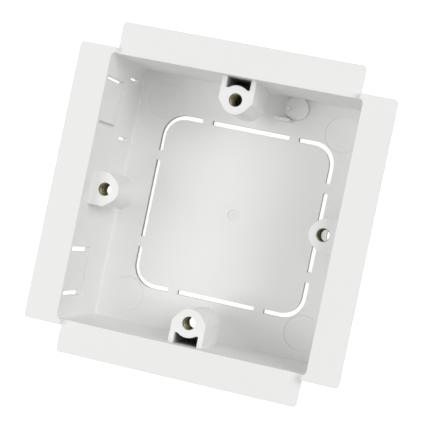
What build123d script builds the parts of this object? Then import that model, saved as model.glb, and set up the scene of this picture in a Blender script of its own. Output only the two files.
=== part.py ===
"""Single-gang back box: one moulded plastic body with four brass screw inserts.

Millimetres. The origin is the centre of the back face. +X is right, +Y is up
the wall and +Z comes out of the open front.
"""
import os

from build123d import *

# Screw centres of the face plate that closes the box
screw_spacing = 60.3
screw_offset = screw_spacing / 2

# Open box
opening_width = 68.0
opening_height = 72.0
opening_corner_radius = 1.2
inner_floor_radius = 0.5
wall_thickness = 1.5
floor_thickness = 2.0
inner_depth = 35.0
rim_level = floor_thickness + inner_depth
body_width = opening_width + 2 * wall_thickness
body_height = opening_height + 2 * wall_thickness
body_corner_radius = opening_corner_radius + wall_thickness

# Flanges: the side pair is level with the rim, the end pair is set back and a
# little shorter than the opening is wide
side_flange_reach = 7.4
side_flange_length = body_height
end_flange_reach = 7.3
end_flange_inset = 1.05
end_flange_length = opening_width - 2 * end_flange_inset
end_flange_setback = 2.0
flange_thickness = 1.8
flange_corner_radius = 1.0

# Screw lugs: a round nose at the screw centre, straight cheeks to the wall.
# They end well above the floor.
lug_face_setback = 6.6
lug_length = 19.2
lug_nose_radius = 3.9
lug_width = 9.4
lug_shoulder_lead = 0.3
lug_foot_chamfer = 0.5
lug_face_level = rim_level - lug_face_setback
lug_foot_level = lug_face_level - lug_length

# Moulding pockets behind the noses of the top and bottom lugs, measured from
# the wall. Their near side is straight, apart from where it follows the nose.
pocket_width = 6.5
pocket_length = 2.85
pocket_base_thickness = 1.2

# Clearance under each insert; at the top lug it is closed at its foot
clearance_radius = 2.9
top_lug_base_thickness = 1.2

# Brass inserts, held under a thin lip of the lug. The bore lies between the
# inner and outer radius of the M3.5 thread that it stands for, and the lip's
# hole is just wider than the screw.
insert_length = 8.0
insert_radius = 2.6
insert_bore_radius = 1.6
insert_edge_chamfer = 0.25
lip_thickness = 0.35
lip_hole_radius = 1.8
insert_top_level = lug_face_level - lip_thickness
insert_foot_level = insert_top_level - insert_length

# Openings behind the lugs, where the mould's cores came through: a window from
# the left lug's bore out through the wall, a slot through the bottom lug's left
# cheek with one in the floor beside it, and a hole in the floor under the right
window_width = 4.0
window_top_level = 18.5
window_foot_level = 4.0
core_slot_angle = 22.0
floor_slot_width = 3.6
floor_slot_start = 2.5
floor_slot_length = 3.6
lug_slot_width = 3.2
lug_slot_length = 4.6
lug_slot_top_level = 17.5

# Knock-out panel in the floor: slots on a rounded square, left joined by bridges
panel_half_side = 24.65
panel_corner_radius = 6.0
panel_slot_width = 1.25
bridge_width = 2.9
bridge_offset = 12.7

# Round thin places in the floor for the wall screws
thin_spot_radius = 5.0
thin_spot_recess = 0.12
thin_spot_side_distance = 8.0
thin_spot_end_distance = 7.7
thin_spot_x = opening_width / 2 - thin_spot_side_distance
thin_spot_y = opening_height / 2 - thin_spot_end_distance

# Gate mark at the middle of the floor, where the melt came in: a shallow dish,
# a small ring-shaped sink in it and a nub in the middle
gate_dish_radius = 4.4
gate_dish_depth = 0.2
gate_sink_radius = 1.55
gate_sink_depth = 0.25
gate_nub_radius = 0.65

# Side knock-outs: two slits each, joined by a shallow groove at the foot. The
# upper pair is finer, and its inner slit is a blind groove.
side_panel_centre = 23.35
side_panel_width = 12.1
side_slit_width = 1.3
upper_slit_width = 0.8
blind_slit_depth = 1.0
side_slit_top_setback = 1.6
side_slit_length = 15.5
side_groove_depth = 0.4
side_groove_width = 0.8
side_slit_top_level = rim_level - side_slit_top_setback
side_slit_foot_level = side_slit_top_level - side_slit_length

# Short slits beside the upper side knock-outs
short_slit_spacing = 17.0
short_slit_width = 0.8
short_slit_length = 8.8
short_slit_top_setback = 22.8
short_slit_top_level = rim_level - short_slit_top_setback

# Earth terminal holder on the floor, beside the top lug: a low round pad, a
# nub near its left edge and a rib in front
holder_x = 11.95
holder_wall_distance = 2.9
holder_y = opening_height / 2 - holder_wall_distance
holder_radius = 3.3
holder_height = 1.5
holder_rib_right = 11.0
holder_rib_length = 4.7
holder_rib_thickness = 0.9
holder_rib_offset = 3.85
holder_rib_height = 4.5
holder_nub_offset_x = -2.2
holder_nub_offset_y = -0.5
holder_nub_radius = 0.7
holder_nub_height = 1.0

# Over-run that keeps cutting tools clear of the faces they pass through
overrun = 1.0


def block(x_low, x_high, y_low, y_high, z_low, z_high):
    """A box between two corners."""
    size = Box(x_high - x_low, y_high - y_low, z_high - z_low)
    return Pos((x_low + x_high) / 2, (y_low + y_high) / 2, (z_low + z_high) / 2) * size


def post(x, y, radius, z_low, z_high):
    """An upright cylinder between two levels."""
    return Pos(x, y, (z_low + z_high) / 2) * Cylinder(radius, z_high - z_low)


def rounded_block(width, height, radius, z_low, z_high):
    """An upright block with rounded corners, centred on the origin."""
    return extrude(Pos(0, 0, z_low) * RectangleRounded(width, height, radius), z_high - z_low)


def box_shell():
    """Floor and four walls."""
    outer = rounded_block(body_width, body_height, body_corner_radius, 0, rim_level)
    hollow = rounded_block(
        opening_width, opening_height, opening_corner_radius,
        floor_thickness, rim_level + overrun,
    )
    floor_edges = hollow.faces().sort_by(Axis.Z)[0].edges()
    return outer - fillet(floor_edges, inner_floor_radius)


def end_notch():
    """Lowers the end walls to the front of their flanges."""
    return block(
        -end_flange_length / 2, end_flange_length / 2, -body_height, body_height,
        rim_level - end_flange_setback, rim_level + overrun,
    )


def flanges():
    """Four separate flanges that stop the box in a wall lining."""
    side_span = body_width + 2 * side_flange_reach
    end_span = body_height + 2 * end_flange_reach
    end_level = rim_level - end_flange_setback
    side_plate = rounded_block(
        side_span, side_flange_length, flange_corner_radius,
        rim_level - flange_thickness, rim_level,
    )
    end_plate = rounded_block(
        end_flange_length, end_span, flange_corner_radius,
        end_level - flange_thickness, end_level,
    )
    opening = rounded_block(
        opening_width, opening_height, opening_corner_radius,
        0, rim_level + overrun,
    )
    return side_plate + end_plate - opening


def lug_at_top(wall_inner):
    """One lug at the +Y wall, before its bores are cut."""
    length = lug_face_level - lug_foot_level
    round_nose = Pos(0, screw_offset) * Circle(lug_nose_radius)
    outline = make_hull(round_nose.edges() + shoulder_rectangle(wall_inner).edges())
    lug = extrude(Pos(0, 0, lug_foot_level) * outline, length)
    foot_edges = lug.faces().sort_by(Axis.Z)[0].edges().sort_by(Axis.Y)[:-1]
    return chamfer(foot_edges, lug_foot_chamfer)


def shoulder_rectangle(wall_inner):
    """Plan of the cheeks, from just ahead of the screw centre into the wall."""
    low = screw_offset - lug_shoulder_lead
    high = wall_inner + wall_thickness / 2
    return Pos(0, (low + high) / 2) * Rectangle(lug_width, high - low)


def pocket_at_top():
    """Deep moulding pocket between the nose of the top lug and the wall."""
    well = block(
        -pocket_width / 2, pocket_width / 2,
        opening_height / 2 - pocket_length, opening_height / 2,
        lug_foot_level + pocket_base_thickness, lug_face_level + overrun,
    )
    return well - post(0, screw_offset, lug_nose_radius, 0, rim_level)


def bore_at_top(foot_level):
    """Stepped bore: lip, insert seat and clearance down to the given level."""
    lip = post(0, screw_offset, lip_hole_radius, insert_top_level, lug_face_level + overrun)
    seat = post(0, screw_offset, insert_radius, insert_foot_level, insert_top_level)
    clearance = post(0, screw_offset, clearance_radius, foot_level, insert_foot_level)
    return lip + seat + clearance


def core_slot(start, length, width, z_low, z_high):
    """A slanting slot, its start measured from the bottom lug's screw centre."""
    plan = Pos(-start - length / 2, 0, z_low) * SlotCenterToCenter(length, width)
    slot = extrude(plan, z_high - z_low)
    return Pos(0, -screw_offset) * Rot(0, 0, core_slot_angle) * slot


def core_openings():
    """Openings that the mould's cores left behind three of the lugs."""
    window = block(
        -body_width / 2 - overrun, -screw_offset,
        -window_width / 2, window_width / 2, window_foot_level, window_top_level,
    )
    floor_slot = core_slot(
        floor_slot_start, floor_slot_length, floor_slot_width,
        -overrun, floor_thickness + overrun,
    )
    lug_slot = core_slot(
        0, lug_slot_length, lug_slot_width, lug_foot_level - overrun, lug_slot_top_level
    )
    hole = post(screw_offset, 0, clearance_radius, -overrun, floor_thickness + overrun)
    return window + floor_slot + lug_slot + hole


def panel_slots():
    """Eight slots round the knock-out panel in the floor."""
    outer_side = 2 * panel_half_side + panel_slot_width
    inner_side = 2 * panel_half_side - panel_slot_width
    outer = rounded_block(
        outer_side, outer_side, panel_corner_radius + panel_slot_width / 2,
        -overrun, floor_thickness + overrun,
    )
    inner = rounded_block(
        inner_side, inner_side, panel_corner_radius - panel_slot_width / 2,
        -overrun, floor_thickness + overrun,
    )
    ring = outer - inner
    for side in (-1, 1):
        centre = side * bridge_offset
        low = centre - bridge_width / 2
        high = centre + bridge_width / 2
        ring -= block(low, high, -body_height, body_height, -2 * overrun, rim_level)
        ring -= block(-body_width, body_width, low, high, -2 * overrun, rim_level)
    return ring


def side_slit(y, width, z_low, z_high):
    """A slit through both side walls."""
    return block(
        -body_width / 2 - overrun, body_width / 2 + overrun,
        y - width / 2, y + width / 2, z_low, z_high,
    ) - block(
        -opening_width / 2 + overrun, opening_width / 2 - overrun,
        -body_height, body_height, -overrun, rim_level + overrun,
    )


def side_groove(y_low, y_high, z_low, z_high, depth):
    """A groove in the inner face of both side walls."""
    cut = Part()
    for side in (-1, 1):
        face = side * opening_width / 2
        cut += block(face - depth, face + depth, y_low, y_high, z_low, z_high)
    return cut


def side_knock_outs():
    """Slits and foot grooves of the four knock-outs in the side walls."""
    top = side_slit_top_level
    foot = side_slit_foot_level
    near = side_panel_centre - side_panel_width / 2
    far = side_panel_centre + side_panel_width / 2
    groove_top = foot + side_groove_width
    cut = side_slit(-near, side_slit_width, foot, top)
    cut += side_slit(-far, side_slit_width, foot, top)
    cut += side_slit(far, upper_slit_width, foot, top)
    cut += side_groove(
        near - upper_slit_width / 2, near + upper_slit_width / 2, foot, top, blind_slit_depth
    )
    cut += side_groove(near, far, foot, groove_top, side_groove_depth)
    cut += side_groove(-far, -near, foot, groove_top, side_groove_depth)
    for side in (-1, 1):
        cut += side_slit(
            side_panel_centre + side * short_slit_spacing / 2, short_slit_width,
            short_slit_top_level - short_slit_length, short_slit_top_level,
        )
    return cut


def thin_spots():
    """Four shallow round recesses in the inner face of the floor."""
    cut = Part()
    for column in (-1, 1):
        for row in (-1, 1):
            cut += post(
                column * thin_spot_x, row * thin_spot_y, thin_spot_radius,
                floor_thickness - thin_spot_recess, floor_thickness + overrun,
            )
    return cut


def gate_mark():
    """Dish and ring-shaped sink at the middle of the floor."""
    ball_radius = (gate_dish_radius ** 2 + gate_dish_depth ** 2) / (2 * gate_dish_depth)
    dish = Pos(0, 0, floor_thickness - gate_dish_depth + ball_radius) * Sphere(ball_radius)
    dish &= post(0, 0, gate_dish_radius + overrun, 0, floor_thickness + overrun)
    sink_level = floor_thickness - gate_dish_depth - gate_sink_depth
    sink = post(0, 0, gate_sink_radius, sink_level, floor_thickness)
    nub = post(0, 0, gate_nub_radius, 0, floor_thickness - gate_dish_depth)
    return dish + (sink - nub)


def terminal_holder():
    """Low round pad with a nub, and a rib in front of it."""
    pad_level = floor_thickness + holder_height
    pad = post(holder_x, holder_y, holder_radius, floor_thickness / 2, pad_level)
    nub = post(
        holder_x + holder_nub_offset_x, holder_y + holder_nub_offset_y, holder_nub_radius,
        floor_thickness / 2, pad_level + holder_nub_height,
    )
    rib_middle = holder_y - holder_rib_offset
    rib = block(
        holder_rib_right - holder_rib_length, holder_rib_right,
        rib_middle - holder_rib_thickness / 2, rib_middle + holder_rib_thickness / 2,
        floor_thickness / 2, floor_thickness + holder_rib_height,
    )
    return pad + nub + rib


def turned(shape, angle):
    """The shape turned about the box's own axis."""
    return Rot(0, 0, angle) * shape


def insert_at_top():
    """Brass bush with its bore, seated under the lug's lip."""
    bush = post(0, screw_offset, insert_radius, insert_foot_level, insert_top_level)
    bush = chamfer(bush.edges().filter_by(GeomType.CIRCLE), insert_edge_chamfer)
    bore = post(0, screw_offset, insert_bore_radius, -overrun, rim_level)
    return bush - bore


# Body
end_lug = lug_at_top(opening_height / 2)
side_lug = lug_at_top(opening_width / 2)
body = box_shell() + flanges() - end_notch()
body += end_lug + turned(end_lug, 180)
body += turned(side_lug, 90) + turned(side_lug, -90)
body += terminal_holder()

pocket = pocket_at_top()
body -= pocket
body -= turned(pocket, 180)
body -= bore_at_top(lug_foot_level + top_lug_base_thickness)
for quarter in (90, 180, 270):
    body -= turned(bore_at_top(lug_foot_level - overrun), quarter)
body -= core_openings()
body -= panel_slots()
body -= gate_mark()
body -= thin_spots()
body -= side_knock_outs()

# Inserts
insert = insert_at_top()

nodes = {
    "box_body": body,
    "insert_top": insert,
    "insert_left": turned(insert, 90),
    "insert_bottom": turned(insert, 180),
    "insert_right": turned(insert, 270),
}

os.makedirs("parts", exist_ok=True)
for name, shape in nodes.items():
    export_step(shape, f"parts/{name}.step")
    box = shape.bounding_box()
    print(name, "volume", round(shape.volume, 1), "solids", len(shape.solids()))
    print("   from", tuple(round(v, 2) for v in box.min), "to", tuple(round(v, 2) for v in box.max))
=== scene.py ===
# %% [markdown]
# # A back box, dressed for its portrait
# A back box sits in the wall behind a switch or a socket. It is one plastic
# moulding with four brass bushes that take the face plate's screws. The
# measured solids come in first, as a frame that nothing here may move.

# %% Load the measured solids
import math

import bmesh
import bpy
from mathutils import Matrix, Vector


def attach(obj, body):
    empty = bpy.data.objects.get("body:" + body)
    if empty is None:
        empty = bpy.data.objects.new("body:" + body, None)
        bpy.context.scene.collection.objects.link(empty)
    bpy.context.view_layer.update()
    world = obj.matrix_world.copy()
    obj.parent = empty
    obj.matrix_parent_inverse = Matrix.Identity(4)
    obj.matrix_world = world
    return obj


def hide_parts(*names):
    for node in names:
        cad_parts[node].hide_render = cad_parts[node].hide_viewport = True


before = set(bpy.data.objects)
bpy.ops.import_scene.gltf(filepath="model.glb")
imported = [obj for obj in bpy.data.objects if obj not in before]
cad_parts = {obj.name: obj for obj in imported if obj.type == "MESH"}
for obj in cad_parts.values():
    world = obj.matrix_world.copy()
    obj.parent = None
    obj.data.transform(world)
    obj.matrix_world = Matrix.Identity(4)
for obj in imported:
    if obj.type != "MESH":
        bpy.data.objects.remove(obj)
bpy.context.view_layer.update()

# %% [markdown]
# Sizes are easier to read in millimetres, while Blender works in metres here.
# The sizes of the real box that the pieces below must fit are named once.

# %% Sizes of the real box
MM = 0.001
rim_level = 37.0 * MM
floor_level = 2.0 * MM
screw_offset = 30.15 * MM
lug_face_level = 30.4 * MM
insert_top = 30.05 * MM
insert_length = 8.0 * MM
insert_radius = 2.6 * MM
print("lug face stands", round((rim_level - lug_face_level) / MM, 2), "mm below the rim")

# %% [markdown]
# Colours are picked as on a paint chart, in hex. A render adds up light, so
# each hex value is turned into linear light first. One short function does it
# for every material, which keeps all the chips on one chart.

# %% Colour and node helpers
def linear(hex_code):
    """An sRGB hex colour as linear red, green, blue and alpha."""
    parts = [int(hex_code[i:i + 2], 16) / 255 for i in (1, 3, 5)]
    return [c / 12.92 if c <= 0.04045 else ((c + 0.055) / 1.055) ** 2.4 for c in parts] + [1.0]


def node(tree, kind, inputs=None, **settings):
    """Adds a node, sets it up, and links or fills its inputs."""
    made = tree.nodes.new(kind)
    for name, value in settings.items():
        setattr(made, name, value)
    for key, value in (inputs or {}).items():
        if isinstance(value, bpy.types.NodeSocket):
            tree.links.new(value, made.inputs[key])
        else:
            made.inputs[key].default_value = value
    return made


def new_material(name):
    """An empty node material with its output node."""
    made = bpy.data.materials.new(name)
    made.use_nodes = True
    made.node_tree.nodes.clear()
    output = node(made.node_tree, "ShaderNodeOutputMaterial")
    return made, made.node_tree, output


print("mid grey in linear light:", round(linear("#808080")[0], 3))

# %% [markdown]
# ## Camera
# The picture looks down into the box from its right side, with the box turned
# a little clockwise. The camera stands 0.4 m in front of the back face, and a
# long lens keeps the walls nearly parallel. The shift is half a pixel.

# %% Camera
camera_data = bpy.data.cameras.new("camera")
camera_data.sensor_width = 36.0
camera_data.lens = 117.4
camera_data.shift_x = -0.0011
camera_data.shift_y = 0.0011
camera = bpy.data.objects.new("camera", camera_data)
camera.location = (0.07981, 0.00244, 0.39837)
camera.rotation_euler = [math.radians(a) for a in (2.2032, 11.7731, 12.0497)]
bpy.context.scene.collection.objects.link(camera)
bpy.context.scene.camera = camera
print("camera lens", camera_data.lens, "mm")

# %% [markdown]
# ## Floor and light
# The box lies on white paper. The paper looks white to the camera and in the
# brass, but still takes a soft shadow: part of its light is its own, and the
# rest is what really falls on it. Diffuse rays see plain paper, so it lights
# the box from below just as paper does.

# %% White paper
paper_half_side = 1.5
paper_gap = 0.02 * MM
paper_glow = 0.86


def white_paper():
    """Matt paper that the camera sees as a white ground."""
    made, tree, output = new_material("white_paper")
    rays = node(tree, "ShaderNodeLightPath")
    seen = rays.outputs["Is Camera Ray"]
    for ray in ("Is Glossy Ray", "Is Transmission Ray"):
        seen = node(tree, "ShaderNodeMath", {0: seen, 1: rays.outputs[ray]}, operation="MAXIMUM")
        seen = seen.outputs[0]
    paper = node(tree, "ShaderNodeBsdfDiffuse", {"Color": linear("#f2f2f1"), "Roughness": 0.6})
    glow = node(tree, "ShaderNodeEmission", {"Color": linear("#ffffff"), "Strength": paper_glow})
    lit = node(tree, "ShaderNodeAddShader", {0: paper.outputs[0], 1: glow.outputs[0]})
    mixed = node(tree, "ShaderNodeMixShader", {0: seen, 1: paper.outputs[0], 2: lit.outputs[0]})
    tree.links.new(mixed.outputs[0], output.inputs["Surface"])
    return made


def flat_sheet(name, half, level):
    """A square sheet facing up."""
    mesh = bpy.data.meshes.new(name)
    ring = ((-half, -half), (half, -half), (half, half), (-half, half))
    corners = [(x, y, level) for x, y in ring]
    mesh.from_pydata(corners, [], [(0, 1, 2, 3)])
    made = bpy.data.objects.new(name, mesh)
    bpy.context.scene.collection.objects.link(made)
    return made


paper_sheet = flat_sheet("paper_sheet", paper_half_side, -paper_gap)
paper_sheet.data.materials.append(white_paper())
print("paper is", 2 * paper_half_side, "m wide")

# %% [markdown]
# A large soft box on the right lights the left wall and the left half of the
# box's floor. A weaker one stands higher up on the left and lights the rest.
# The sky is an even fill that keeps the shadows open. The camera and shiny
# faces see it as plain white.

# %% Lamps and sky
lamp_aim = (0, 0, 0.02)
sky_level = 0.38


def soft_box(name, place, aim, size, power):
    """A square area lamp that points at a place."""
    data = bpy.data.lights.new(name, "AREA")
    data.shape = "SQUARE"
    data.size = size
    data.energy = power
    made = bpy.data.objects.new(name, data)
    made.location = place
    made.rotation_euler = (Vector(aim) - Vector(place)).to_track_quat("-Z", "Y").to_euler()
    bpy.context.scene.collection.objects.link(made)
    return made


soft_box("right_light", (0.65, 0.29, 0.71), lamp_aim, 0.60, 4.0)
soft_box("left_light", (-0.45, -0.10, 0.89), lamp_aim, 0.50, 2.6)

world = bpy.data.worlds.new("sky")
bpy.context.scene.world = world
world.use_nodes = True
sky = world.node_tree
sky.nodes.clear()
sky_rays = node(sky, "ShaderNodeLightPath")
sky_seen = node(sky, "ShaderNodeMath", {
    0: sky_rays.outputs["Is Camera Ray"], 1: sky_rays.outputs["Is Glossy Ray"]}, operation="MAXIMUM")
sky_fill = node(sky, "ShaderNodeBackground", {"Color": linear("#ffffff"), "Strength": sky_level})
sky_white = node(sky, "ShaderNodeBackground", {"Color": linear("#ffffff"), "Strength": 1.0})
sky_mix = node(sky, "ShaderNodeMixShader", {
    0: sky_seen.outputs[0], 1: sky_fill.outputs[0], 2: sky_white.outputs[0]})
node(sky, "ShaderNodeOutputWorld", {"Surface": sky_mix.outputs[0]})
bpy.context.scene.view_settings.view_transform = "Standard"
print("two lamps and an even sky")

# %% [markdown]
# ## White moulded plastic
# The box is hard white PVC from an injection mould. The mould's steel was
# lightly spark-finished, so the skin is satin with a very fine pebble, and the
# flow of the melt leaves faint clouds some 30 mm across. Two noise textures
# give both, with scales worked out from those sizes. A moulding has no knife
# edges either: each edge has a tiny round that catches the light, which a
# Bevel node gives. The deep wells behind the lug noses catch hardly any light,
# so painted shade greys them a little way down. The walls of the slots cut in
# the floor get painted shade too: a flat grey set by their place on the piece.

# %% White moulded plastic
cloud_size = 30 * MM
pebble_size = 0.45 * MM
pebble_height = 0.02 * MM
well_half_width = 3.4 * MM
well_start = 33.0 * MM
well_end = 36.2 * MM
well_foot = 12.0 * MM
painted_shade_start = 0.2 * MM
painted_shade_full = 3.0 * MM
edge_round = 0.25 * MM
slot_reach = 27.0 * MM
slot_depth = 0.5 * MM
back_skin = 0.05 * MM


def moulded_pvc():
    """Satin white PVC, read from the place on the piece."""
    made, tree, output = new_material("moulded_pvc")
    place = node(tree, "ShaderNodeTexCoord").outputs["Object"]
    cloud = node(tree, "ShaderNodeTexNoise", {"Vector": place, "Scale": 1 / cloud_size, "Detail": 3.0})
    clouded = node(tree, "ShaderNodeMix", {
        0: cloud.outputs["Fac"], 6: linear("#f5f5f4"), 7: linear("#f9f9f8")}, data_type="RGBA")
    # painted shade: the wells behind the lug noses turn grey a little way down
    wells = node(tree, "ShaderNodeMix", {
        0: painted_well_shade(tree, place), 6: clouded.outputs[2], 7: linear("#b8b8b7")}, data_type="RGBA")
    # painted shade: the walls of the slots in the floor turn a flat grey
    coloured = node(tree, "ShaderNodeMix", {
        0: painted_slot_shade(tree, place), 6: wells.outputs[2], 7: linear("#b0b0af")}, data_type="RGBA")
    pebble = node(tree, "ShaderNodeTexNoise", {"Vector": place, "Scale": 1 / pebble_size, "Detail": 2.0})
    rounded = node(tree, "ShaderNodeBevel", {"Radius": edge_round}, samples=8)
    bump = node(tree, "ShaderNodeBump", {
        "Height": pebble.outputs["Fac"], "Strength": 0.25, "Distance": pebble_height,
        "Normal": rounded.outputs[0]})
    satin = node(tree, "ShaderNodeMapRange", {"Value": cloud.outputs["Fac"], 3: 0.40, 4: 0.52})
    skin = node(tree, "ShaderNodeBsdfPrincipled", {
        "Base Color": coloured.outputs[2], "Roughness": satin.outputs[0], "IOR": 1.53,
        "Normal": bump.outputs[0]})
    tree.links.new(skin.outputs[0], output.inputs["Surface"])
    return made


def painted_well_shade(tree, place):
    """Painted shade mask: 0 outside the moulding wells, rising to 1 a little way down inside them."""
    axes = node(tree, "ShaderNodeSeparateXYZ", {0: place})
    across = node(tree, "ShaderNodeMath", {0: axes.outputs[0]}, operation="ABSOLUTE")
    along = node(tree, "ShaderNodeMath", {0: axes.outputs[1]}, operation="ABSOLUTE")
    depth = node(tree, "ShaderNodeMapRange", {
        "Value": axes.outputs[2], 1: lug_face_level - painted_shade_start,
        2: lug_face_level - painted_shade_full, 3: 0.0, 4: 1.0})
    result = depth.outputs[0]
    for value, test, limit in (
            (across.outputs[0], "LESS_THAN", well_half_width),
            (along.outputs[0], "GREATER_THAN", well_start),
            (along.outputs[0], "LESS_THAN", well_end),
            (axes.outputs[2], "GREATER_THAN", well_foot)):
        gate = node(tree, "ShaderNodeMath", {0: value, 1: limit}, operation=test)
        result = node(tree, "ShaderNodeMath", {0: result, 1: gate.outputs[0]}, operation="MULTIPLY")
        result = result.outputs[0]
    return result


def painted_slot_shade(tree, place):
    """Painted shade mask: 1 on the walls of the slots round the floor's panel, 0 elsewhere."""
    axes = node(tree, "ShaderNodeSeparateXYZ", {0: place})
    across = node(tree, "ShaderNodeMath", {0: axes.outputs[0]}, operation="ABSOLUTE")
    along = node(tree, "ShaderNodeMath", {0: axes.outputs[1]}, operation="ABSOLUTE")
    above = node(tree, "ShaderNodeMath", {0: axes.outputs[2], 1: back_skin}, operation="GREATER_THAN")
    result = above.outputs[0]
    for value, limit in ((axes.outputs[2], floor_level - slot_depth),
                         (across.outputs[0], slot_reach), (along.outputs[0], slot_reach)):
        gate = node(tree, "ShaderNodeMath", {0: value, 1: limit}, operation="LESS_THAN")
        result = node(tree, "ShaderNodeMath", {0: result, 1: gate.outputs[0]}, operation="MULTIPLY")
        result = result.outputs[0]
    return result


plastic = moulded_pvc()
print("plastic clouds", cloud_size / MM, "mm, pebble", pebble_size / MM, "mm")

# %% [markdown]
# ## Brass
# The bushes are turned from brass bar: a dull yellow metal with fine rings from
# the tool. The rings are a wave texture along the bush's axis, bent a little
# by its own distortion. It repeats every 0.314 units, so these rings stand
# some 0.13 mm apart. The metal has a rather low roughness, so that the thread
# shows bright and dark flanks.

# %% Brass
stain_size = 2.0 * MM
ring_unit = 0.4 * MM
ring_height = 0.01 * MM


def turned_brass():
    """Machined brass with fine tool rings."""
    made, tree, output = new_material("turned_brass")
    place = node(tree, "ShaderNodeTexCoord").outputs["Object"]
    stain = node(tree, "ShaderNodeTexNoise", {"Vector": place, "Scale": 1 / stain_size, "Detail": 4.0})
    tint = node(tree, "ShaderNodeMix", {
        0: stain.outputs["Fac"], 6: linear("#968f67"), 7: linear("#a6a17f")}, data_type="RGBA")
    rings = node(tree, "ShaderNodeTexWave", {"Vector": place, "Scale": 1 / ring_unit, "Distortion": 1.0},
                 wave_type="BANDS", bands_direction="Z")
    bump = node(tree, "ShaderNodeBump", {
        "Height": rings.outputs["Fac"], "Strength": 0.2, "Distance": ring_height})
    worn = node(tree, "ShaderNodeMapRange", {"Value": stain.outputs["Fac"], 3: 0.22, 4: 0.36})
    metal = node(tree, "ShaderNodeBsdfPrincipled", {
        "Base Color": tint.outputs[2], "Metallic": 1.0, "Roughness": worn.outputs[0],
        "Normal": bump.outputs[0]})
    tree.links.new(metal.outputs[0], output.inputs["Surface"])
    return made


brass = turned_brass()
print("brass ready")

# %% [markdown]
# ## The moulded body
# The measured solid already has the walls, lugs and slots, and its curved
# faces carry exact normals. It could be copied and bevelled, but a bevel
# breaks those normals on the long flat faces, so the solid stays as it is and
# only takes the plastic, whose Bevel node softens the edges.

# %% Body takes the plastic
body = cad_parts["box_body"]
for slot in body.material_slots:
    slot.material = plastic
print("body wears", body.material_slots[0].material.name)


def baked(piece):
    """The piece with its modifiers turned into plain mesh."""
    graph = bpy.context.evaluated_depsgraph_get()
    mesh = bpy.data.meshes.new_from_object(piece.evaluated_get(graph))
    piece.modifiers.clear()
    piece.data = mesh
    return piece


# %% [markdown]
# ## Brass bushes
# Each bush is a short tube with a thread inside for the plate's screw, and a
# knurl outside that grips the plastic. Both repeat, so Geometry Nodes make
# them: a spiral carries the thread's section round the bore, and a ring of
# points carries the knurl's ribs. The four bushes share the tree.

# %% Bush tree
thread_pitch = 0.6 * MM
thread_root = 1.72 * MM
thread_depth = 0.12 * MM
thread_run_out = 0.6 * MM
knurl_ribs = 36
knurl_inset = 0.12 * MM
knurl_rib_radius = 0.10 * MM
knurl_rib_length = 3.0 * MM


def socket_id(tree, name):
    """The identifier of a named input of a node tree."""
    return next(item.identifier for item in tree.interface.items_tree if item.name == name)


def bush_tree(metal):
    """A node group that adds thread and knurl to a tube and sets it in its place."""
    tree = bpy.data.node_groups.new("threaded_bush", "GeometryNodeTree")
    tree.interface.new_socket("Geometry", in_out="INPUT", socket_type="NodeSocketGeometry")
    for name in ("Pitch", "Root radius", "Thread depth", "Length", "Outer radius"):
        tree.interface.new_socket(name, in_out="INPUT", socket_type="NodeSocketFloat")
    tree.interface.new_socket("Place", in_out="INPUT", socket_type="NodeSocketVector")
    tree.interface.new_socket("Geometry", in_out="OUTPUT", socket_type="NodeSocketGeometry")
    sizes = node(tree, "NodeGroupInput").outputs

    turns = node(tree, "ShaderNodeMath", {0: sizes["Length"], 1: sizes["Pitch"]}, operation="DIVIDE")
    spiral = node(tree, "GeometryNodeCurveSpiral", {
        "Resolution": 40, "Rotations": turns.outputs[0], "Start Radius": sizes["Root radius"],
        "End Radius": sizes["Root radius"], "Height": sizes["Length"]})
    section = node(tree, "GeometryNodeCurvePrimitiveCircle", {
        "Resolution": 4, "Radius": sizes["Thread depth"]}, mode="RADIUS")
    thread = node(tree, "GeometryNodeCurveToMesh", {
        "Curve": spiral.outputs[0], "Profile Curve": section.outputs[0], "Fill Caps": True})

    inner_ring = node(tree, "ShaderNodeMath", {
        0: sizes["Outer radius"], 1: knurl_inset}, operation="SUBTRACT")
    ribs = node(tree, "GeometryNodeMeshCircle", {
        "Vertices": knurl_ribs, "Radius": inner_ring.outputs[0]})
    rib = node(tree, "GeometryNodeMeshCone", {
        "Vertices": 4, "Radius Top": knurl_rib_radius, "Radius Bottom": knurl_rib_radius,
        "Depth": knurl_rib_length})
    normal = node(tree, "GeometryNodeInputNormal")
    facing = node(tree, "FunctionNodeAlignRotationToVector", {"Vector": normal.outputs[0]}, axis="X")
    knurl = node(tree, "GeometryNodeInstanceOnPoints", {
        "Points": ribs.outputs[0], "Instance": rib.outputs[0], "Rotation": facing.outputs[0]})
    middle = node(tree, "ShaderNodeMath", {0: sizes["Length"], 1: 0.5}, operation="MULTIPLY")
    raise_by = node(tree, "ShaderNodeCombineXYZ", {2: middle.outputs[0]})
    knurl = node(tree, "GeometryNodeTransform", {
        "Geometry": knurl.outputs[0], "Translation": raise_by.outputs[0]})

    joined = node(tree, "GeometryNodeJoinGeometry")
    tree.links.new(sizes["Geometry"], joined.inputs[0])
    tree.links.new(thread.outputs[0], joined.inputs[0])
    tree.links.new(knurl.outputs[0], joined.inputs[0])
    placed = node(tree, "GeometryNodeTransform", {
        "Geometry": joined.outputs[0], "Translation": sizes["Place"]})
    real = node(tree, "GeometryNodeRealizeInstances", {0: placed.outputs[0]})
    metal_set = node(tree, "GeometryNodeSetMaterial", {"Geometry": real.outputs[0], "Material": metal})
    node(tree, "NodeGroupOutput", {0: metal_set.outputs[0]})
    return tree


threaded_bush = bush_tree(brass)
print("bush tree has", len(threaded_bush.nodes), "nodes")

# %% [markdown]
# The tube of the bush is a turned shape, so its outline is spun round the
# axis, like work in a lathe: a small chamfer at each mouth, a straight bore at
# the thread's root, and one groove outside at half its height, which the
# knurl's ribs cross.

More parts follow.
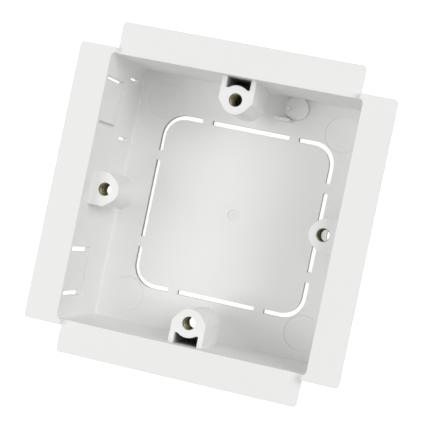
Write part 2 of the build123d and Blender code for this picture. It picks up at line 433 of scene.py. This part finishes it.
# %% Bushes
def turned_tube(name, outline, steps=64):
    """A closed ring-shaped mesh spun from an outline of (radius, height)."""
    verts, faces = [], []
    count = len(outline)
    for step in range(steps):
        angle = 2 * math.pi * step / steps
        verts += [(r * math.cos(angle), r * math.sin(angle), h) for r, h in outline]
    for step in range(steps):
        here, there = step * count, (step + 1) % steps * count
        for k in range(count):
            n = (k + 1) % count
            faces.append((here + k, there + k, there + n, here + n))
    mesh = bpy.data.meshes.new(name)
    mesh.from_pydata(verts, [], faces)
    work = bmesh.new()
    work.from_mesh(mesh)
    bmesh.ops.recalc_face_normals(work, faces=work.faces)
    work.to_mesh(mesh)
    work.free()
    made = bpy.data.objects.new(name, mesh)
    bpy.context.scene.collection.objects.link(made)
    return made


bore = thread_root
foot_chamfer = 0.15 * MM
mouth_chamfer = 0.12 * MM
rim_inset = 0.25 * MM
rim_height = 0.3 * MM
groove_depth = 0.3 * MM
groove_middle = insert_length / 2
groove_half_width = 0.4 * MM
groove_half_floor = 0.2 * MM
bush_side = insert_radius - knurl_inset
groove_side = bush_side - groove_depth
bush_outline = [
    (bore, foot_chamfer), (bore + foot_chamfer, 0),
    (insert_radius - rim_inset, 0), (bush_side, rim_height),
    (bush_side, groove_middle - groove_half_width), (groove_side, groove_middle - groove_half_floor),
    (groove_side, groove_middle + groove_half_floor), (bush_side, groove_middle + groove_half_width),
    (bush_side, insert_length - rim_height), (insert_radius - rim_inset, insert_length),
    (bore + mouth_chamfer, insert_length), (bore, insert_length - mouth_chamfer)]
bush_places = {
    "insert_top": (0, screw_offset), "insert_bottom": (0, -screw_offset),
    "insert_left": (-screw_offset, 0), "insert_right": (screw_offset, 0)}
for cad_node, (x, y) in bush_places.items():
    bush = turned_tube(cad_node.replace("insert", "bush"), bush_outline)
    dressing = bush.modifiers.new("thread_and_knurl", "NODES")
    dressing.node_group = threaded_bush
    for name, value in (("Pitch", thread_pitch), ("Root radius", thread_root),
                        ("Thread depth", thread_depth), ("Length", insert_length - thread_run_out),
                        ("Outer radius", insert_radius), ("Place", (x, y, insert_top - insert_length))):
        dressing[socket_id(threaded_bush, name)] = value
    bush = baked(bush)
    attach(bush, "root")
    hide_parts(cad_node)
    print(bush.name, "has", len(bush.data.polygons), "faces")
